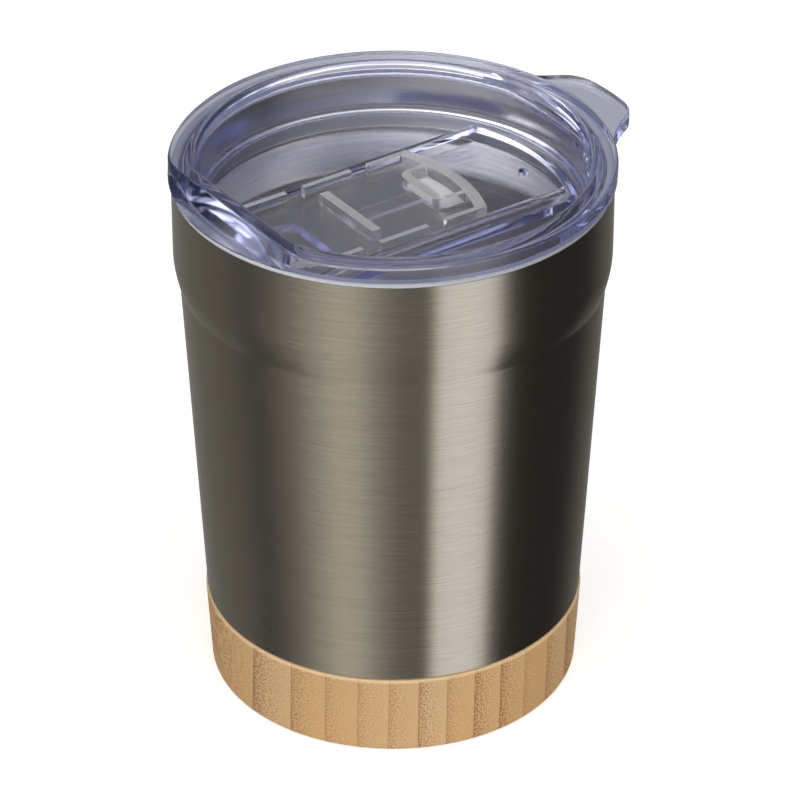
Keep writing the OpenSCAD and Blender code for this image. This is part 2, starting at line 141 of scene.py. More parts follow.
class TumblerBamboo(bpy.types.PropertyGroup):
    """Sizes and colours of the laminated base."""
    segments: facets("Facets round the base", 240)
    foot_r: length("Foot radius", "Radius of the base at the table", 36.65)
    top_r: length("Top radius", "Radius of the base at its top", 37.65)
    edge_round: length("Edge round", "Rounding of the base's edges", 0.8)
    pocket_r: length("Pocket radius", "Radius of the pocket for the steel", 34.65)
    pocket_z: length("Pocket floor", "Height of the pocket's floor", 8)
    strip_w: length("Strip width", "Width of one bamboo strip", 5.7)
    shift: length("Strip shift", "Offset of the middle strip from the axis", -1.7)
    turn: angle("Strip turn", "Turn of the strips about the axis", -20.5)
    pale: colour("Pale strip", "Colour of a pale strip", "#dcb98a")
    warm: colour("Warm strip", "Colour of a warm strip", "#d8a96f")
    stain: colour("Stain", "Colour of the side where the fibres crowd", "#b98550")
    # This colour is painted light: a painted highlight that makes the rounded upper edge paler, where light from above
    # falls on it
    painted_edge_highlight: colour("Painted edge highlight", "Colour of the upper edge, painted paler where light from above falls on it", "#f2d3a3")
    fibre: colour("Fibre", "Colour of the fibre bundles", "#7e4818")
    bundle: length("Bundle spacing", "Distance between fibre bundles", 0.5)


class TumblerLid(bpy.types.PropertyGroup):
    """Sizes and colours of the clear lid."""
    segments: facets("Facets round the lid", 180)
    rim_z: length("Rim underside", "Height of the rim's underside", LINER_HIGH.z / MM + 0.1)
    rim_round: length("Rim round", "Rounding of the rim's outer edge", 0.7)
    plug_r: length("Plug radius", "Outside radius of the plug", 39.5)
    plug_round: length("Plug round", "Rounding of the plug's lower edge", 0.5)
    skirt_t: length("Skirt thickness", "Thickness of the plug below the floor", 2.2)
    rim_fillet: length("Rim fillet", "Fillet between plug and rim", 0.8)
    recess_r: length("Recess radius", "Radius of the recess at its top", 37.6)
    recess_edge: length("Recess edge", "Rounding of the recess's upper edge", 1.4)
    floor_r: length("Floor radius", "Radius of the recess at its floor", 36.8)
    floor_round: length("Floor round", "Fillet between floor and wall", 1.6)
    floor_z: length("Floor height", "Height of the recess's floor", 103.05)
    floor_t: length("Floor thickness", "Thickness of the lid's floors", 1.8)
    groove_r: length("Groove radius", "Radius of the seal's groove", 38.6)
    seal_gap: length("Seal gap", "Gap between the seal and its groove", 0.05)
    spout_x: length("Spout edge", "Distance of the straight spout edge from the axis", 36.8)
    spout_wall_x: length("Spout wall", "Distance of the wall behind the spout from the axis", 33.3)
    spout_blend: length("Spout blend", "Radius of the curves that blend the spout edge into the rim", 12)
    recess_corner: length("Recess corner", "Radius of the recess's corners beside the spout", 8)
    spout_lip: length("Spout lip", "Upright edge left below the spout's sloped face", 0.4)
    trough_z: length("Trough floor", "Height of the trough's floor", 99.75)
    trough_half: length("Trough half width", "Half the width between the ledges", 14.3)
    trough_r: length("Trough end", "Radius of the trough's round end", 33.5)
    ledge_w: length("Ledge width", "Width of the ledges over the slider", 0.8)
    ledge_t: length("Ledge thickness", "Thickness of the ledges", 1)
    sip_l: length("Sip length", "Length of the sip hole", 13)
    sip_w: length("Sip width", "Width of the sip hole", 16)
    sip_round: length("Sip round", "Corner radius of the sip hole", 3)
    sip_inset: length("Sip inset", "Distance of the sip hole from the spout's wall", 2.5)
    vent_r: length("Vent radius", "Radius of the vent hole", 1)
    vent_x: length("Vent place", "Distance of the vent hole from the axis", 31)
    tab_w: length("Tab width", "Width of the pull tab at its tip", 24)
    tab_z: length("Tab underside", "Height of the tab's underside", LINER_HIGH.z / MM - 1.75)
    tab_t: length("Tab thickness", "Thickness of the tab", 3.2)
    tab_gap: length("Tab gap", "Gap between the steel and the part of the tab below the rim", 1)
    tab_corner: length("Tab corner", "Radius of the tab's corners", 8)
    tab_blend: length("Tab blend", "Radius of the curves into the rim", 24)
    tab_round: length("Tab round", "Rounding of the tab's edges", 0.5)
    edge: length("Moulded edge", "Rounding of the lid's other edges", 0.3)
    ledge_round: length("Ledge round", "Rounding of the trough's upper edge", 0.55)
    tint: colour("Plastic", "Tint of the clear plastic", "#fbfbfe")
    depth_tint: colour("Thick plastic", "Tint that a long way through the plastic gives", "#98a4e4")
    density: FloatProperty(name="Depth", default=30,
                           description="How fast the tint grows inside the plastic, per metre")


class TumblerSlider(bpy.types.PropertyGroup):
    """Sizes and colours of the sliding closure and the seal."""
    runner_t: length("Runner thickness", "Thickness of the plate that runs under the ledges", 1.7)
    half: length("Half width", "Half the width of the upper part", 13.5)
    end_r: length("End radius", "Radius of the round end", 33.2)
    travel: length("Travel", "How far the slider travels", 18)
    wall: length("Wall", "Thickness of the side and front walls", 1.2)
    end_wall: length("End wall", "Thickness of the round end wall", 2.4)
    bar_w: length("Bar width", "Width of the cross bars", 2)
    front_bar: length("Front bar", "Distance of the first bar from the front", 23)
    front_half: length("Front bar half", "Half the length of the first bar", 8.8)
    thumb_bar: length("Thumb bar", "Distance of the thumb bar from the round end", 8.5)
    thumb_half: length("Thumb half width", "Half the width of the thumb pocket", 6.8)
    thumb_wall: length("Thumb wall", "Thickness of the thumb pocket's walls", 1)
    thumb_corner: length("Thumb corner", "Radius of the thumb pocket's corners", 2.5)
    rib_w: length("Rib width", "Width of the rib between the bars", 3.5)
    rib_h: length("Rib height", "Height of the rib above the plate", 0.8)
    notch_l: length("Notch length", "Length of the notches in the side walls", 4)
    front_notch: length("Front notch", "Distance of the first notches from the front", 17)
    rear_notch: length("Rear notch", "Distance of the second notches from the front", 32)
    edge: length("Moulded edge", "Rounding of the slider's edges", 0.35)
    tint: colour("Plastic", "Tint of the slider's plastic", "#f6f6f6")
    silicone: colour("Silicone", "Colour of the seal", "#f8f8fc")


class TumblerStage(bpy.types.PropertyGroup):
    """Camera, floor and light."""
    azimuth: angle("Camera azimuth", "Where the camera stands round the cup", -35)
    distance: length("Camera distance", "Level distance from the cup's axis", 748.36)
    height: length("Camera height", "Height of the camera", 527.97)
    pitch: angle("Camera pitch", "How far the camera looks down", 32.12)
    yaw: angle("Camera yaw", "How far the camera looks to the right of the axis", 0.103)
    lens: FloatProperty(name="Lens", description="Focal length in millimetres", default=202.5)
    sensor: FloatProperty(name="Sensor", description="Width of the sensor in millimetres", default=36)
    floor: colour("Floor", "Colour of the floor", "#f2f2f0")


GROUPS = {
    "tumbler_steel": TumblerSteel,
    "tumbler_bamboo": TumblerBamboo,
    "tumbler_lid": TumblerLid,
    "tumbler_slider": TumblerSlider,
    "tumbler_stage": TumblerStage,
}


def deselect():
    """Leave edit mode and deselect every object."""
    if bpy.context.object and bpy.context.object.mode != "OBJECT":
        bpy.ops.object.mode_set(mode="OBJECT")
    bpy.ops.object.select_all(action="DESELECT")


def activate(piece):
    """Make a piece the one that operators act on."""
    deselect()
    piece.select_set(True)
    bpy.context.view_layer.objects.active = piece


@contextmanager
def editing(piece, action="SELECT"):
    """Edit mode on a piece, with all of it selected or nothing."""
    activate(piece)
    bpy.ops.object.mode_set(mode="EDIT")
    bpy.ops.mesh.select_mode(type="EDGE")
    bpy.ops.mesh.select_all(action=action)
    yield
    bpy.ops.object.mode_set(mode="OBJECT")


def arc(centre, radius, start, end, steps=ROUND_STEPS):
    """Points on an arc in the plane, with the angles in degrees."""
    turns = [math.radians(start + (end - start) * i / steps) for i in range(steps + 1)]
    return [(centre[0] + radius * math.cos(t), centre[1] + radius * math.sin(t)) for t in turns]


def rounded(points, radii, steps=ROUND_STEPS):
    """The path through points with a fillet of its own radius at each inner point."""
    path = [points[0]]
    for before, at, after, radius in zip(points, points[1:], points[2:], radii):
        at = Vector(at)
        back, ahead = (Vector(before) - at).normalized(), (Vector(after) - at).normalized()
        half = back.angle(ahead) / 2
        if radius <= 0 or half > math.radians(89.9):
            path.append(tuple(at))
            continue
        centre = at + (back + ahead).normalized() * (radius / math.sin(half))
        first = at + back * (radius / math.tan(half)) - centre
        sweep = (math.pi - 2 * half) * (1 if back.cross(ahead) < 0 else -1)
        for i in range(steps + 1):
            spoke = Matrix.Rotation(sweep * i / steps, 2) @ first
            path.append(tuple(centre + spoke))
    return path + [points[-1]]


def skin(name, rings, closed=False):
    """Stretch a surface over rings of points: a circle, extruded once for each further ring, with its points moved
    into place. A closed row of rings makes a hollow ring, an open row is capped at both ends."""
    deselect()
    count = len(rings[0])
    bpy.ops.mesh.primitive_circle_add(vertices=count, radius=1, fill_type="NOTHING" if closed else "NGON")
    piece = bpy.context.object
    piece.name = piece.data.name = name
    with editing(piece):
        for _ in rings[1:]:
            bpy.ops.mesh.extrude_edges_move(TRANSFORM_OT_translate={"value": (0, 0, 1)})
        if not closed:
            bpy.ops.mesh.edge_face_add()
    for vertex in piece.data.vertices:
        place = round(math.atan2(vertex.co.y, vertex.co.x) / math.tau * count) % count
        vertex.co = rings[round(vertex.co.z)][place]
    with editing(piece):
        bpy.ops.mesh.remove_doubles(threshold=MERGE)
        bpy.ops.mesh.normals_make_consistent(inside=False)
    return piece


def turned(name, outline, segments, closed=False):
    """Turn a half outline about the Z axis."""
    return skin(name, [[(x, y, z) for x, y in arc((0, 0), radius, 0, 360, segments)[:-1]]
                       for radius, z in outline], closed)


def prism(name, plan, low, high):
    """Extrude a plan, given as points, from one height to another."""
    return skin(name, [[(x, y, z) for x, y in plan] for z in (low, high)])


def rectangle(x0, x1, half):
    """Plan of a box as wide to both sides of the X axis."""
    return [(x0, -half), (x1, -half), (x1, half), (x0, half)]


def cut(piece, tool, operation="DIFFERENCE"):
    """Cut a piece with a tool, or join the two, and drop the tool."""
    activate(piece)
    step = piece.modifiers.new("Cut", "BOOLEAN")
    step.operation = operation
    step.solver = "EXACT"
    step.object = tool
    bpy.ops.object.modifier_apply(modifier=step.name)
    bpy.data.objects.remove(tool)


def halve(piece, place, normal):
    """Bisect a piece, keep what lies against the normal and fill the cut."""
    with editing(piece):
        bpy.ops.mesh.bisect(plane_co=place, plane_no=normal, use_fill=True, clear_outer=True)


def soften(piece, width, test):
    """Bevel, in three steps, the sharp edges whose two end points pass a test."""
    with editing(piece, "DESELECT"):
        mesh = bmesh.from_edit_mesh(piece.data)
        for edge in mesh.edges:
            if len(edge.link_faces) == 2 and edge.calc_face_angle() > math.radians(20):
                edge.select_set(test(edge.verts[0].co, edge.verts[1].co))
        bmesh.update_edit_mesh(piece.data)
        bpy.ops.mesh.bevel(offset=width, segments=3, affect="EDGES", clamp_overlap=True)


def tidy(piece):
    """Merge the points and flat faces that the cuts left."""
    with editing(piece):
        bpy.ops.mesh.remove_doubles(threshold=NEAR)
        bpy.ops.mesh.dissolve_limited(angle_limit=math.radians(0.2))


def smooth(piece, degrees=30):
    """Shade smooth up to an angle, with normals that keep flat faces flat."""
    activate(piece)
    bpy.ops.object.shade_smooth_by_angle(angle=math.radians(degrees))
    step = piece.modifiers.new("Normals", "WEIGHTED_NORMAL")
    step.keep_sharp = True
    bpy.ops.object.modifier_apply(modifier=step.name)


def hand_in(piece, material, body, slot, *nodes):
    """Dress a piece, let it ride on its body and stand for its CAD nodes."""
    piece.data.materials.clear()
    piece.data.materials.append(material)
    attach(piece, body)
    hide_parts(*nodes)


def new_material(name):
    """An empty node material and its tree."""
    material = bpy.data.materials.new(name)
    material.use_nodes = True
    tree = material.node_tree
    tree.nodes.clear()
    return material, tree


def add(tree, kind, inputs=None, **settings):
    """Add a node, with its settings and with values or links for its inputs."""
    node = tree.nodes.new("ShaderNode" + kind)
    for key, value in settings.items():
        setattr(node, key, value)
    for socket, value in (inputs or {}).items():
        if isinstance(value, bpy.types.NodeSocket):
            tree.links.new(value, node.inputs[socket])
        else:
            node.inputs[socket].default_value = value
    return node


def work(tree, operation, *values):
    """The result of a Math node."""
    return add(tree, "Math", dict(enumerate(values)), operation=operation).outputs[0]


def spread(tree, value, low, high, start=0.0, end=1.0):
    """A value carried over from one range to another, and held at its ends."""
    return add(tree, "MapRange", {"Value": value, "From Min": low, "From Max": high, "To Min": start,
                                  "To Max": end}).outputs[0]


def mix(tree, factor, first, second, blend="MIX"):
    """A mix of two colours."""
    return add(tree, "Mix", {"Factor": factor, "A": first, "B": second}, data_type="RGBA",
               blend_type=blend).outputs[2]


def noise(tree, place, scale, detail=2, rough=0.5):
    """A cloudy value, mostly between 0.3 and 0.7."""
    return add(tree, "TexNoise", {"Vector": place, "Scale": scale, "Detail": detail,
                                  "Roughness": rough}).outputs["Fac"]


def place_on(tree):
    """Where a point lies on the piece, in metres."""
    return add(tree, "TexCoord").outputs["Object"]


def axes_of(tree, place):
    """The X, Y and Z of a place."""
    return add(tree, "SeparateXYZ", {"Vector": place}).outputs


def surface(tree, inputs):
    """A Principled shader on the material's output, which is given back."""
    shader = add(tree, "BsdfPrincipled", inputs)
    return add(tree, "OutputMaterial", {"Surface": shader.outputs[0]})


def rgba(value):
    return (*value, 1)


def brushed_steel(name, tint, settings, rough, anisotropic, tilt, uneven, lip=None):
    """Stainless steel sheet, brushed round the body on a lathe.

    The marks run level, so a reflection is drawn out up and down and stays narrow sideways, and single marks are
    darker, duller or lean to one side. Real marks are about 0.05 mm wide, too fine for the render, so they are drawn
    about twice as wide. The lip above a given height is paler and spreads the light evenly.
    """
    material, tree = new_material(name)
    place = place_on(tree)
    along, across = 1 / settings.streak_l, 1 / settings.streak_w
    marks = add(tree, "Mapping", {"Vector": place, "Scale": (along, along, across)}).outputs[0]
    fine, broad = noise(tree, marks, 1, rough=0.6), noise(tree, marks, 0.31)
    mixed = add(tree, "Mix", {"Factor": 0.3, "A": fine, "B": broad}).outputs[0]
    tone = mix(tree, 1.0, rgba(tint), spread(tree, mixed, 0.3, 0.7, 1 - 1.6 * uneven, 1 + 0.4 * uneven), "MULTIPLY")
    level = spread(tree, mixed, 0.3, 0.7, rough * (1 - uneven / 3), rough * (1 + uneven / 3))
    if lip is not None:
        upper = work(tree, "GREATER_THAN", axes_of(tree, place)["Z"], lip)
        tone = mix(tree, upper, tone, rgba(settings.lip_tint))
        level = add(tree, "Mix", {"Factor": upper, "A": level, "B": LIP_ROUGH}).outputs[0]
    round_body = add(tree, "Tangent", direction_type="RADIAL", axis="Z").outputs[0]
    lean = spread(tree, fine, 0.25, 0.75, -tilt, tilt)
    aside = add(tree, "VectorMath", {0: round_body, "Scale": lean}, operation="SCALE").outputs[0]
    facing = add(tree, "NewGeometry").outputs["Normal"]
    leaning = add(tree, "VectorMath", {0: facing, 1: aside}, operation="ADD").outputs[0]
    normal = add(tree, "VectorMath", {0: leaning}, operation="NORMALIZE").outputs[0]
    surface(tree, {"Base Color": tone, "Metallic": 1.0, "Roughness": level, "Anisotropic": anisotropic,
                   "Anisotropic Rotation": 0.25, "Tangent": round_body, "Normal": normal})
    return material


def clear_plastic(name, tint, rough, clear=1.0, depth=None, haze=None):
    """Clear copolymer, injection moulded and polished, or left a little milky.

    Thin walls look almost like glass, and where the light runs a long way inside, a blue toner shows at the edges.
    The depth is the toner's colour and its density, and the haze is a roughness beyond -X and above a height.
    """
    material, tree = new_material(name)
    if haze:
        far_x, above_z, dull = haze
        x, _, z = axes_of(tree, place_on(tree))
        hazy = work(tree, "MULTIPLY", work(tree, "LESS_THAN", x, far_x), work(tree, "GREATER_THAN", z, above_z))
        rough = spread(tree, hazy, 0, 1, rough, dull)
    out = surface(tree, {"Base Color": rgba(tint), "Roughness": rough, "IOR": 1.53, "Transmission Weight": clear})
    if depth:
        inside = add(tree, "VolumeAbsorption", {"Color": rgba(depth[0]), "Density": depth[1]})
        tree.links.new(inside.outputs[0], out.inputs["Volume"])
    return material


def bamboo(name, settings):
    """Bamboo strips, glued side by side, finished with sandpaper and oil.

    Across the fibres it shows brown dots, the cut bundles, crowded along one side of each strip. Along the fibres
    the same bundles show as long streaks. Each strip has a tone of its own. The rounded upper edge is painted
    paler, a painted highlight where light from above falls on it.
    """
    material, tree = new_material(name)
    turned_place = add(tree, "Mapping", {"Vector": place_on(tree), "Rotation": (0, 0, -settings.turn)}).outputs[0]
    x, _, z = axes_of(tree, turned_place)
    count = work(tree, "DIVIDE", work(tree, "SUBTRACT", x, settings.shift - settings.strip_w / 2), settings.strip_w)
    index = work(tree, "FLOOR", count)
    within = work(tree, "SUBTRACT", count, index)
    chance = add(tree, "TexWhiteNoise", {"W": index}, noise_dimensions="1D").outputs
    # Bundles: dots across the fibres, drawn out along them, smaller and fewer from one side of a strip to the other
    flat = add(tree, "CombineXYZ", {"X": x, "Y": z}).outputs[0]
    cells = add(tree, "TexVoronoi", {"Vector": flat, "Scale": 1 / settings.bundle, "Randomness": 0.9},
                voronoi_dimensions="2D").outputs
    size = spread(tree, within, 0, 1, 0.38, 0.1)
    dots = spread(tree, work(tree, "SUBTRACT", size, cells["Distance"]), -0.08, 0.14)
    vigour = spread(tree, chance["Value"], 0, 1, 0.35, 0.95)
    crowded = spread(tree, within, 0.0, 0.35, 0.55, 0.0)
    glue = spread(tree, within, 0.02, 0.05, 0.25, 0.0)
    # Painted highlight: the rounded upper edge is painted paler, where light from above falls on it
    edge = spread(tree, z, BASE_TOP - settings.edge_round, BASE_TOP - settings.edge_round / 3, 0.0, 0.75)
    warmth = add(tree, "SeparateColor", {"Color": chance["Color"]}).outputs["Green"]
    tone = mix(tree, warmth, rgba(settings.pale), rgba(settings.warm))
    tone = mix(tree, work(tree, "MULTIPLY", crowded, vigour), tone, rgba(settings.stain))
    tone = mix(tree, work(tree, "MULTIPLY", dots, vigour), tone, rgba(settings.fibre))
    tone = mix(tree, glue, tone, rgba(settings.fibre))
    # The painted highlight on the upper edge
    tone = mix(tree, edge, tone, rgba(settings.painted_edge_highlight))
    bump = add(tree, "Bump", {"Height": dots, "Strength": 0.2, "Distance": -0.04 * MM}).outputs[0]
    surface(tree, {"Base Color": tone, "Roughness": 0.55, "Normal": bump})
    return material


def silicone_rubber(name, tint):
    """Translucent silicone, moulded. It looks milky and soft, with a dull sheen."""
    material, tree = new_material(name)
    level = spread(tree, noise(tree, place_on(tree), 0.4 / MM), 0, 1, 0.35, 0.45)
    surface(tree, {"Base Color": rgba(tint), "Roughness": level, "IOR": 1.41, "Transmission Weight": 0.1})
    return material


def plain_finish(name, hex_colour, metallic, rough, grain):
    """A plain surface with a fine uneven grain, for the pieces inside the base."""
    material, tree = new_material(name)
    level = spread(tree, noise(tree, place_on(tree), 1 / grain, 3), 0, 1, rough - 0.1, rough + 0.1)
    surface(tree, {"Base Color": rgba(linear(hex_colour)), "Metallic": metallic, "Roughness": level})
    return material


class TUMBLER_OT_shell(bpy.types.Operator):
    """Model the brushed outer shell"""
    bl_idname = "tumbler.shell"
    bl_label = "Outer shell"

    def execute(self, context):
        steel = context.scene.tumbler_steel
        mouth_r = SHELL_HIGH.x
        step = mouth_r - steel.crease_r
        rise = steel.shoulder_z - steel.crease_z
        shoulder_r = (rise * rise + step * step) / (2 * step)
        turn = math.degrees(math.asin(rise / shoulder_r))

        def side(inset):
            shoulder = arc((mouth_r - shoulder_r, steel.shoulder_z), shoulder_r - inset, -turn, 0, 14)
            foot = steel.foot_z + inset
            path = [(steel.spigot_r - inset, SHELL_LOW.z), (steel.spigot_r - inset, foot),
                    (steel.foot_r - inset, foot), shoulder[0], shoulder[3]]
            return rounded(path, [0, steel.foot_round, steel.crease_round]) + shoulder[4:] + [
                (mouth_r - inset, SHELL_HIGH.z)]

        outline = side(0) + side(steel.sheet)[::-1]
        shell = turned("steel_shell", outline + outline[:1], steel.segments, closed=True)
        smooth(shell, 35)
        material = brushed_steel("Brushed stainless steel", steel.tint, steel, rough=0.25,
                                 anisotropic=0.9, tilt=0.0015, uneven=0.13)
        hand_in(shell, material, "cup", "brushed_steel", "outer_shell")
        return {"FINISHED"}


class TUMBLER_OT_liner(bpy.types.Operator):
    """Model the inner cup with its rolled lip"""
    bl_idname = "tumbler.liner"
    bl_label = "Inner liner"

    def execute(self, context):
        steel = context.scene.tumbler_steel
        sheet, lip = steel.sheet, steel.lip_round
        mouth_r, top = LINER_HIGH.x, LINER_HIGH.z
        slope = (steel.crease_r - steel.foot_r) / (steel.crease_z - steel.foot_z)
        floor_z = LINER_LOW.z + sheet
        bend, fold, steps = 4 * MM, 0.2 * MM, 8

        def wall_r(z):
            return steel.foot_r + slope * (z - steel.foot_z) - 2 * sheet - steel.gap

        inside = rounded(
            [(AXIS_R, floor_z), (wall_r(floor_z), floor_z), (wall_r(steel.neck_z), steel.neck_z),
             (steel.throat_r, steel.neck_top), (steel.throat_r, top), (mouth_r, top), (mouth_r, SHELL_HIGH.z),
             (steel.throat_r + sheet, SHELL_HIGH.z)],
            [steel.corner_r, bend, bend, lip, lip, fold], steps)
        outside = rounded(
            [(steel.throat_r + sheet, steel.neck_top), (wall_r(steel.neck_z) + sheet, steel.neck_z),
             (wall_r(LINER_LOW.z) + sheet, LINER_LOW.z), (AXIS_R, LINER_LOW.z)],
            [bend, steel.corner_r + sheet], steps)
        liner = turned("steel_liner", inside + outside, steel.segments)
        smooth(liner, 35)
        material = brushed_steel("Satin stainless steel", steel.bright, steel, rough=0.26,
                                 anisotropic=0.3, tilt=0.002, uneven=0.03, lip=SHELL_HIGH.z)
        hand_in(liner, material, "cup", "polished_steel", "inner_liner")
        return {"FINISHED"}


class TUMBLER_OT_inner_metal(bpy.types.Operator):
    """Dress the pieces that the bamboo base hides"""
    bl_idname = "tumbler.inner_metal"
    bl_label = "Bottom, port, getter and adhesive"

    def execute(self, context):
        # Colour, share of metal, roughness and size of the grain
        finishes = {
            "outer_bottom": plain_finish("Plain steel sheet", "#a9a7a4", 1.0, 0.4, 3 * MM),
            "port_seal": plain_finish("Vacuum port bead", "#8d9196", 1.0, 0.5, 0.5 * MM),
            "getter": plain_finish("Sintered getter alloy", "#4c4a48", 0.6, 0.7, 0.2 * MM),
            "base_adhesive": plain_finish("Cured adhesive", "#e8dfc6", 0.0, 0.5, 2 * MM),
        }
        for node, material in finishes.items():
            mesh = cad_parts[node].data
            mesh.materials.clear()
            mesh.materials.append(material)
        return {"FINISHED"}


class TUMBLER_OT_base(bpy.types.Operator):
    """Model the base and part it into bamboo strips"""
    bl_idname = "tumbler.base"
    bl_label = "Bamboo base"

    def execute(self, context):
        wood = context.scene.tumbler_bamboo
        outline = rounded(
            [(AXIS_R, 0), (wood.foot_r, 0), (wood.top_r, BASE_TOP), (wood.pocket_r, BASE_TOP),
             (wood.pocket_r, wood.pocket_z), (AXIS_R, wood.pocket_z)],
            [wood.edge_round, wood.edge_round, 0, 0])
        whole = turned("bamboo_whole", outline, wood.segments)
        material = bamboo("Laminated bamboo", wood)
        across = Matrix.Rotation(wood.turn, 3, "Z") @ Vector((1, 0, 0))
        before = math.ceil((wood.top_r + wood.shift - wood.strip_w / 2) / wood.strip_w)
        for i, node in enumerate(STRIP_NAMES):
            first = wood.shift + wood.strip_w * (i - before - 0.5)
            strip = whole.copy()
            strip.data = whole.data.copy()
            strip.name = strip.data.name = f"bamboo_strip_{i + 1:02d}"
            context.collection.objects.link(strip)
            if i > 0:
                halve(strip, across * first, -across)
            if i < len(STRIP_NAMES) - 1:
                halve(strip, across * (first + wood.strip_w), across)
            smooth(strip)
            hand_in(strip, material, "cup", "bamboo", node)
        bpy.data.objects.remove(whole)
        return {"FINISHED"}


def channel_plan(half, front, radius, centre=0, steps=24):
    """Plan of the trough or the slider: straight at the spout and round about a centre at the far end."""
    turn = math.degrees(math.asin(half / radius))
    return [(front, -half)] + arc((centre, 0), radius, -turn, turn, steps) + [(front, half)]


def tab_plan(lid, lid_r, tip_r):
    """Plan of the pull tab: a round tip, two corners and two curves that blend into the rim."""
    corner_at, blend_at = tip_r - lid.tab_corner, lid_r + lid.tab_blend
    joined = lid.tab_corner + lid.tab_blend
    corner_turn = math.asin((lid.tab_w / 2 - lid.tab_corner) / corner_at)
    blend_turn = corner_turn + math.acos(
        (blend_at ** 2 + corner_at ** 2 - joined ** 2) / (2 * blend_at * corner_at))
    corner = Vector((corner_at * math.cos(corner_turn), corner_at * math.sin(corner_turn)))
    blend = Vector((blend_at * math.cos(blend_turn), blend_at * math.sin(blend_turn)))
    meet = math.degrees(math.atan2(*(blend - corner).yx))
    half = arc((0, 0), tip_r, 0, math.degrees(corner_turn), 6)
    half += arc(corner, lid.tab_corner, math.degrees(corner_turn), meet, 10)[1:]
    half += arc(blend, lid.tab_blend, meet - 180, math.degrees(blend_turn) - 180, 10)[1:]
    root = (lid.recess_r + lid.recess_edge + lid_r) / 2
    half.append((root * math.cos(blend_turn), root * math.sin(blend_turn)))
    mirrored = [(x, -y) for x, y in half[1:]]
    return half + mirrored[::-1]


def blended(turn, circle_r, chord, radius):
    """Plan of a circle with one chord, square to -X, and rounds between the two.

    Gives the point at a turn from -X, its outward normal, and how far it belongs to the chord.
    """
    side, turn = math.copysign(1, turn), abs(turn)
    bend = Vector((chord - radius, math.sqrt((circle_r - radius) ** 2 - (chord - radius) ** 2)))
    ahead = Vector((math.cos(turn), math.sin(turn)))
    first, last = math.atan2(bend.y, chord), math.atan2(bend.y, bend.x)
    if turn <= first:
        point, normal, straight = ahead * (chord / ahead.x), Vector((1, 0)), 1
    elif turn < last:
        along = bend.dot(ahead)
        point = ahead * (along + math.sqrt(along ** 2 - bend.length_squared + radius ** 2))
        normal = (point - bend) / radius
        straight = 1 - math.atan2(normal.y, normal.x) / last
    else:
        point, normal, straight = ahead * circle_r, ahead, 0
    return Vector((-point.x, side * point.y)), Vector((-normal.x, side * normal.y)), straight


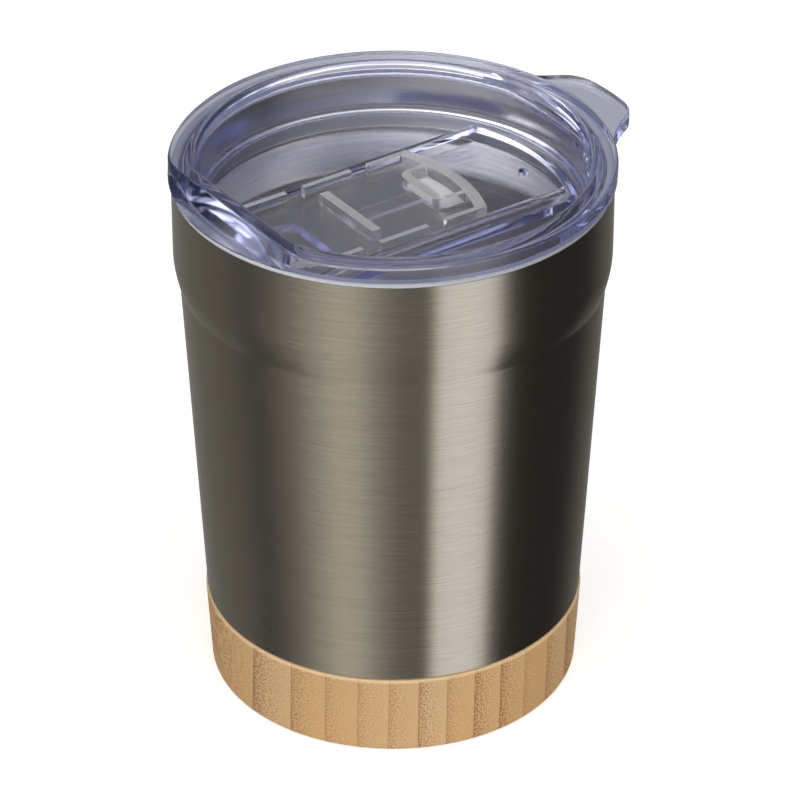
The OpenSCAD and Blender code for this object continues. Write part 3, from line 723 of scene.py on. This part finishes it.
class TUMBLER_OT_lid(bpy.types.Operator):
    """Model the clear lid with its recess, trough, spout and tab"""
    bl_idname = "tumbler.lid"
    bl_label = "Lid"

    def execute(self, context):
        lid = context.scene.tumbler_lid
        body = self.shaped(lid)

        # Trough: a box under the floor, a wide slot for the runner and a narrower way up between the ledges
        slot_half = lid.trough_half + lid.ledge_w
        plan = channel_plan(slot_half + lid.floor_t, -lid.spout_wall_x - lid.floor_t, lid.trough_r + lid.floor_t)
        box_z, box_round = lid.trough_z - lid.floor_t, 0.8 * MM
        box = prism("trough_box", plan, box_z, lid.floor_z - lid.floor_t / 2)
        soften(box, box_round, lambda a, b: max(a.z, b.z) < box_z + MERGE)
        trim_r = lid.plug_r - 0.4 * MM
        cut(box, turned("trough_trim", [(trim_r, LID_LOW.z - OVER), (trim_r, lid.floor_z)], lid.segments), "INTERSECT")
        cut(body, box, "UNION")
        cut(body, prism("slot", channel_plan(slot_half, -lid.spout_wall_x, lid.trough_r), lid.trough_z,
                        lid.floor_z - lid.ledge_t))
        cut(body, prism("way", channel_plan(lid.trough_half, -lid.spout_wall_x, lid.trough_r), lid.trough_z,
                        lid.floor_z + OVER / 2))

        front = -lid.spout_wall_x + lid.sip_inset
        near, far, half = front + lid.sip_round, front + lid.sip_l - lid.sip_round, lid.sip_w / 2 - lid.sip_round
        sip = []
        for x, y, start in ((far, half, 0), (near, half, 90), (near, -half, 180), (far, -half, 270)):
            sip += arc((x, y), lid.sip_round, start, start + 90)
        cut(body, prism("sip", sip, LID_LOW.z - OVER, lid.trough_z + OVER))
        vent = arc((lid.vent_x, 0), lid.vent_r, 0, 360, 24)[:-1]
        cut(body, prism("vent", vent, LID_LOW.z - OVER, lid.trough_z + OVER))

        tab = prism("tab", tab_plan(lid, LID_HIGH.y, LID_HIGH.x), lid.tab_z, lid.tab_z + lid.tab_t)
        free_r = LID_HIGH.y - 1 * MM  # The tab's edges are free outside this radius
        soften(tab, lid.tab_round,
               lambda a, b: abs(a.z - b.z) < MERGE and min(a.xy.length, b.xy.length) > free_r)
        room_r = SHELL_HIGH.x + lid.tab_gap
        cut(tab, turned("tab_room", [(room_r, lid.tab_z - OVER), (room_r, lid.rim_z)], lid.segments))
        cut(body, tab, "UNION")
        tidy(body)

        around_r = lid.trough_r + 0.5 * MM  # Just outside the trough

        def on_floor(point):
            return abs(point.z - lid.floor_z) < 2 * NEAR and point.xy.length < around_r

        soften(body, lid.ledge_round, lambda a, b: on_floor(a) and on_floor(b))
        smooth(body)
        material = clear_plastic("Clear copolymer, lid", lid.tint, rough=0.015,
                                 depth=(lid.depth_tint, lid.density),
                                 haze=(-lid.spout_x, lid.rim_z + lid.spout_lip, 0.14))
        hand_in(body, material, "lid", "clear_lid", "lid_body")
        return {"FINISHED"}

    def shaped(self, lid):
        """Plug, rim with its spout, and recess, from rings that stand closer beside the spout's corners."""
        finer, first, last = 4, math.radians(20), math.radians(42)
        count = finer * lid.segments
        turns = [math.tau * i / count - math.pi for i in range(count)]
        turns = [turn for i, turn in enumerate(turns) if i % finer == 0 or first < abs(turn) < last]
        return skin("clear_lid", list(zip(*(self.profile(lid, turn) for turn in turns))))

    def profile(self, lid, turn):
        """The lid's surface in the half plane at one turn from the spout, as points from the underside to the floor."""
        lid_r, top, under = LID_HIGH.y, LID_HIGH.z, lid.floor_z - lid.floor_t
        low, high = SEAL_LOW.z - lid.seal_gap, SEAL_HIGH.z + lid.seal_gap
        edge_r = blended(turn, lid_r, lid.spout_x, lid.spout_blend)[0].length
        skirt_r, foot_z = lid.plug_r - lid.skirt_t, LID_LOW.z
        under_round, skirt_round, groove_round, lip_round = 0.4 * MM, 0.3 * MM, 0.1 * MM, 0.15 * MM
        outside = rounded(
            [(AXIS_R, under), (skirt_r, under), (skirt_r, foot_z), (lid.plug_r, foot_z), (lid.plug_r, low),
             (lid.groove_r, low), (lid.groove_r, high), (lid.plug_r, high), (lid.plug_r, lid.rim_z),
             (lid_r, lid.rim_z), (lid_r, lid.rim_z + lid.spout_lip), (edge_r, top), (edge_r - AHEAD, top)],
            [under_round, skirt_round, lid.plug_round, 0, groove_round, groove_round, 0, lid.rim_fillet, lip_round,
             0, lid.rim_round])[:-1]
        points = [(-r * math.cos(turn), r * math.sin(turn), z) for r, z in outside]

        edge = lid.recess_edge
        rim, normal, straight = blended(turn, lid.recess_r + edge, lid.spout_wall_x + edge, lid.recess_corner + edge)
        foot = edge + (lid.recess_r - lid.floor_r) * (1 - straight)
        foot_round = lid.floor_round + (lid.edge - lid.floor_round) * straight
        inside = arc((0, top - edge), edge, 90, 0) + rounded(
            [(edge, top - edge), (foot, lid.floor_z), (foot + AHEAD, lid.floor_z)], [foot_round])[1:-1]
        return points + [(*(rim - normal * inset), z) for inset, z in inside]


class TUMBLER_OT_seal(bpy.types.Operator):
    """Model the silicone seal with its two lips"""
    bl_idname = "tumbler.seal"
    bl_label = "Seal"

    def execute(self, context):
        lid = context.scene.tumbler_lid
        inside, neck, lips = lid.groove_r + lid.seal_gap, lid.plug_r - 0.2 * MM, SEAL_HIGH.x
        low, tall = SEAL_LOW.z, SEAL_HIGH.z - SEAL_LOW.z
        path = [(inside, low), (neck, low), (lips, low + tall / 4), (neck, low + tall / 2),
                (lips, low + 3 * tall / 4), (neck, low + tall), (inside, low + tall), (inside, low)]
        neck_round, tip_round, inner_round = 0.1 * MM, 0.15 * MM, 0.05 * MM
        outline = rounded(path, [neck_round, tip_round, neck_round, tip_round, neck_round, inner_round], 3)
        seal = turned("silicone_seal", outline, lid.segments, closed=True)
        smooth(seal)
        material = silicone_rubber("Silicone rubber", context.scene.tumbler_slider.silicone)
        hand_in(seal, material, "lid", "silicone", "lid_seal")
        return {"FINISHED"}


def thumb_plan(x, end, half, radius):
    """Plan of the thumb pocket: straight sides and two round corners."""
    return (arc((x + radius, half - radius), radius, 90, 180) + arc((x + radius, radius - half), radius, 180, 270)
            + [(end, -half), (end, half)])


class TUMBLER_OT_slider(bpy.types.Operator):
    """Model the sliding closure"""
    bl_idname = "tumbler.slider"
    bl_label = "Slider"

    def execute(self, context):
        part = context.scene.tumbler_slider
        low, top, front, rear = SLIDER_LOW.z, SLIDER_HIGH.z, SLIDER_LOW.x, SLIDER_HIGH.x
        plate_top, well_round = low + part.runner_t, 0.35 * MM

        def plan(half, start, radius):
            return channel_plan(half, start, radius, -part.travel, 20)

        def join(name, outline, high):
            cut(body, prism(name, outline, plate_top - SINK, high), "UNION")

        body = prism("clear_slider", plan(SLIDER_HIGH.y, front, part.end_r), low, plate_top)
        upper = prism("upper", plan(part.half, front, part.end_r), plate_top - SINK, top)
        well = prism("well", plan(part.half - part.wall, front + part.wall, part.end_r - part.end_wall), plate_top,
                     top + OVER)
        soften(well, well_round, lambda a, b: abs(a.z - b.z) > MERGE and max(a.x, b.x) < 0)
        cut(upper, well)
        for at in (part.front_notch, part.rear_notch):
            notch = rectangle(front + at, front + at + part.notch_l, part.half + OVER)
            cut(upper, prism("notch", notch, plate_top, top + OVER))
        cut(body, upper, "UNION")
        bar_x, thumb_x, bar_half = front + part.front_bar, rear - part.thumb_bar, part.bar_w / 2
        join("bar", rectangle(bar_x - bar_half, bar_x + bar_half, part.front_half), top)
        pocket = prism("pocket", thumb_plan(thumb_x - bar_half, rear - part.end_wall / 2, part.thumb_half,
                                            part.thumb_corner), plate_top - SINK, top)
        cut(pocket, prism("hollow", thumb_plan(thumb_x + bar_half, rear + OVER, part.thumb_half - part.thumb_wall,
                                               part.thumb_corner - part.thumb_wall), plate_top - OVER, top + OVER))
        cut(body, pocket, "UNION")
        join("rib", rectangle(bar_x, thumb_x, part.rib_w / 2), plate_top + part.rib_h)
        tidy(body)
        soften(body, part.edge, lambda a, b: min(a.z, b.z) > top - NEAR)
        smooth(body)
        material = clear_plastic("Clear copolymer, slider", part.tint, rough=0.1, clear=0.95)
        hand_in(body, material, "slider", "clear_slider", "slider")
        # The grips are etched: all that the finger touches is pale and dull, and the thumb pocket most
        body.data.materials.append(clear_plastic("Etched copolymer, slider", part.tint, rough=0.35, clear=0.65))
        body.data.materials.append(clear_plastic("Etched copolymer, thumb pocket", part.tint, rough=0.5, clear=0.2))
        for face in body.data.polygons:
            spots = [body.data.vertices[i].co for i in face.vertices]
            upper = min(spot.z for spot in spots) > top - part.edge - NEAR
            in_pocket = (abs(face.center.z - plate_top) < NEAR and face.normal.z > 0.9
                         and thumb_x < face.center.x < rear and abs(face.center.y) < part.thumb_half
                         and all(abs(spot.y) < part.thumb_half for spot in spots))
            face.material_index = 2 if in_pocket else 1 if upper else 0
        return {"FINISHED"}


class TUMBLER_OT_stage(bpy.types.Operator):
    """Set up the floor, the light and the camera"""
    bl_idname = "tumbler.stage"
    bl_label = "Stage"

    def execute(self, context):
        stage = context.scene.tumbler_stage
        scene = context.scene
        scene.view_settings.view_transform = "Standard"
        # Light runs a long way between the clear walls and the steel
        scene.cycles.max_bounces = 40
        scene.cycles.glossy_bounces = 24
        scene.cycles.transmission_bounces = 32
        self.add_camera(scene, stage)
        self.add_floor(stage)
        self.add_world(scene, stage)
        return {"FINISHED"}

    def add_camera(self, scene, stage):
        deselect()
        place = (stage.distance * math.sin(stage.azimuth), -stage.distance * math.cos(stage.azimuth), stage.height)
        bpy.ops.object.camera_add(location=place, rotation=(math.pi / 2 - stage.pitch, 0, stage.azimuth - stage.yaw))
        camera = bpy.context.object
        camera.data.lens = stage.lens
        camera.data.sensor_width = stage.sensor
        camera.data.clip_start = 10 * MM
        scene.camera = camera

    def add_floor(self, stage):
        deselect()
        bpy.ops.mesh.primitive_circle_add(vertices=64, radius=3, fill_type="NGON", location=(0, 0, -0.05 * MM))
        floor = bpy.context.object
        floor.name = "floor"
        material, tree = new_material("Pale floor")
        rays = add(tree, "LightPath").outputs
        matte = add(tree, "BsdfDiffuse", {"Color": rgba(stage.floor)}).outputs[0]
        glow = add(tree, "Emission", {"Color": WHITE, "Strength": 0.5}).outputs[0]
        lit = add(tree, "AddShader", {0: matte, 1: glow}).outputs[0]
        seen = add(tree, "MixShader", {"Fac": rays["Is Camera Ray"], 1: matte, 2: lit}).outputs[0]
        add(tree, "OutputMaterial", {"Surface": seen})
        floor.data.materials.append(material)
        floor.visible_glossy = False
        floor.visible_transmission = False

    def add_world(self, scene, stage):
        """White to the camera, soft on matt surfaces, and a studio with softboxes to metal and glass."""
        world = bpy.data.worlds.new("Studio")
        scene.world = world
        world.use_nodes = True
        world.cycles.sampling_method = "NONE"
        tree = world.node_tree
        tree.nodes.clear()
        ray = add(tree, "TexCoord").outputs["Generated"]
        x, y, z = axes_of(tree, add(tree, "Mapping", {"Vector": ray, "Rotation": (0, 0, -stage.azimuth)}).outputs[0])
        rays = add(tree, "LightPath").outputs
        away = work(tree, "MULTIPLY", y, -1.0)
        # A glossy table carries the softboxes on towards the cup, so that they stay upright on the shoulder
        ahead = work(tree, "ADD", away, spread(tree, z, -0.64, -1.0, 0.0, 0.34))
        turn = spread(tree, work(tree, "ARCTAN2", x, ahead), -math.pi, math.pi)
        sides = add(tree, "ValToRGB", {"Fac": turn})
        self.fill_ramp(sides.color_ramp)
        # Seen through the plastic the studio is softer
        studio = mix(tree, work(tree, "MULTIPLY", rays["Is Transmission Ray"], 0.65), sides.outputs[0], SOFT_STUDIO)
        # Behind the cup it is dark above the level of the table, up to the ceiling
        behind, above = spread(tree, y, 0.0, 0.4), spread(tree, z, 0.15, 0.35)
        studio = mix(tree, work(tree, "MULTIPLY", behind, above), studio, DIM_BACK)
        # A tall pale wall on the camera's side, brighter to the left, lights the inside and the lid's edges
        front = spread(tree, work(tree, "MULTIPLY_ADD", x, -0.35, away), -0.1, 0.4)
        wall = work(tree, "MULTIPLY", front, spread(tree, z, 0.1, 0.35))
        studio = mix(tree, wall, studio, spread(tree, x, -0.6, 0.3, 2.5, 1.0))
        # A gloss on the plastic needs a lamp far brighter than paper, and the steel behind it a softer one
        power = spread(tree, rays["Is Glossy Ray"], 0, 1, 1.5, 2.5)
        lamp = work(tree, "MULTIPLY", self.strip_light(tree, x, y, z), power)
        overhead = spread(tree, rays["Is Transmission Ray"], 0, 1, 1.1, 0.5)
        top = work(tree, "MULTIPLY_ADD", spread(tree, z, 0.62, 0.9), overhead, lamp)
        studio = mix(tree, 1.0, studio, top, "ADD")
        # Matt surfaces get an even light that is stronger from above on the camera's side
        soft = spread(tree, work(tree, "MULTIPLY_ADD", z, 1.1, away), 0, 1.4, 0.04, 1.32)
        studio = mix(tree, rays["Is Diffuse Ray"], studio, soft)
        seen = mix(tree, rays["Is Camera Ray"], studio, WHITE)
        light = add(tree, "Background", {"Color": seen, "Strength": 1.0})
        add(tree, "OutputWorld", {"Surface": light.outputs[0]})

    def strip_light(self, tree, x, y, z):
        """A mask that is 1 inside a long level lamp, high up behind the cup and to its left."""
        def within(value, middle, half, blur):
            off = work(tree, "ABSOLUTE", work(tree, "SUBTRACT", value, middle))
            return spread(tree, off, half + blur, half - blur)

        along = within(work(tree, "ARCTAN2", x, y), math.radians(-38), math.radians(46), 0.06)
        return work(tree, "MULTIPLY", along, within(z, 0.745, 0.045, 0.008))

    def fill_ramp(self, ramp):
        """Set the ramp's stops to the studio's sides: cool in the softbox and warm beside it."""
        while len(ramp.elements) > 1:
            ramp.elements.remove(ramp.elements[-1])
        for i, (degrees, level) in enumerate(SIDES):
            place = (degrees + 180) / 360
            element = ramp.elements[0] if i == 0 else ramp.elements.new(place)
            element.position = place
            green, blue = COOL if level > SOFTBOX else WARM
            element.color = (level, level * green, level * blue, 1)


class TUMBLER_PT_panel(bpy.types.Panel):
    """Steps that build the tumbler"""
    bl_label = "Tumbler"
    bl_space_type = "VIEW_3D"
    bl_region_type = "UI"
    bl_category = "Tumbler"

    def draw(self, context):
        for operator in OPERATORS:
            self.layout.operator(operator.bl_idname)
        for group, settings in GROUPS.items():
            box = self.layout.box()
            box.label(text=settings.__doc__)
            for field in settings.__annotations__:
                box.prop(getattr(context.scene, group), field)


OPERATORS = (TUMBLER_OT_shell, TUMBLER_OT_liner, TUMBLER_OT_inner_metal, TUMBLER_OT_base, TUMBLER_OT_lid,
             TUMBLER_OT_seal, TUMBLER_OT_slider, TUMBLER_OT_stage)
CLASSES = (*GROUPS.values(), *OPERATORS, TUMBLER_PT_panel)


def register():
    for cls in CLASSES:
        bpy.utils.register_class(cls)
    for group, settings in GROUPS.items():
        setattr(bpy.types.Scene, group, PointerProperty(type=settings))


def unregister():
    for group in GROUPS:
        delattr(bpy.types.Scene, group)
    for cls in reversed(CLASSES):
        bpy.utils.unregister_class(cls)


def main():
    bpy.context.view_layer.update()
    register()
    bpy.ops.tumbler.shell()
    bpy.ops.tumbler.liner()
    bpy.ops.tumbler.inner_metal()
    bpy.ops.tumbler.base()
    bpy.ops.tumbler.lid()
    bpy.ops.tumbler.seal()
    bpy.ops.tumbler.slider()
    bpy.ops.tumbler.stage()


if __name__ == "__main__":
    main()
